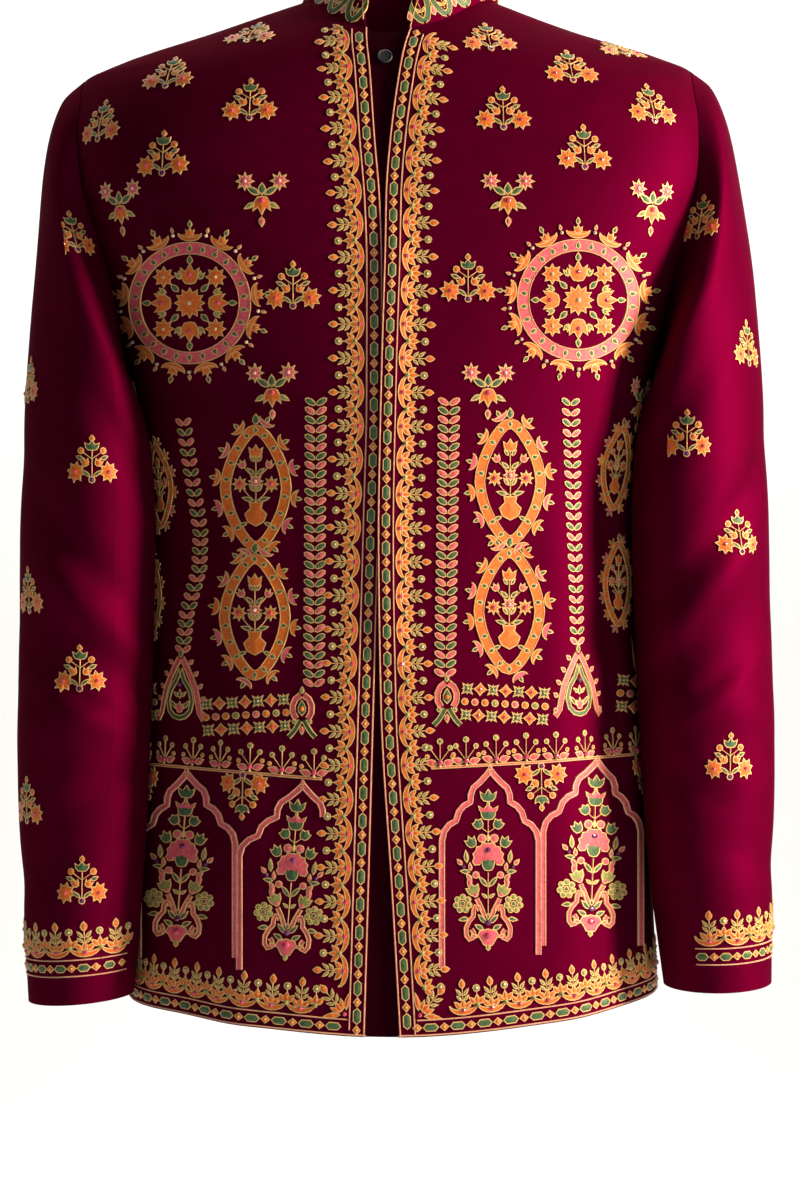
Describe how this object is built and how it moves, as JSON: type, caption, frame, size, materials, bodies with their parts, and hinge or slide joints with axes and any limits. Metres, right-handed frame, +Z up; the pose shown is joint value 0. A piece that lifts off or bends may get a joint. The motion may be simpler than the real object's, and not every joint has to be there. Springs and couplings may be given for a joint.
{
  "type": "prince coat",
  "caption": "Worn maroon prince coat with a stand collar, open front edges and gold, orange, pink and green embroidery.",
  "frame": {"origin": "middle of the neck opening, at the height where the collar meets the shoulder seams", "axes": "+Z up, -Y out of the coat's front, +X to the wearer's left"},
  "size_m": [0.5464, 0.2536, 0.7784],
  "materials": {
    "maroon_cloth": "matte",
    "plain_cloth": "matte",
    "button": "gloss"
  },
  "bodies": {
    "root": {"front_left": "maroon_cloth", "front_right": "maroon_cloth", "back": "maroon_cloth", "sleeve_top_left": "maroon_cloth", "sleeve_top_right": "maroon_cloth", "sleeve_under_left": "maroon_cloth", "sleeve_under_right": "maroon_cloth", "collar": "maroon_cloth", "underlap": "plain_cloth", "top_button": "button"}
  },
  "joints": []
}
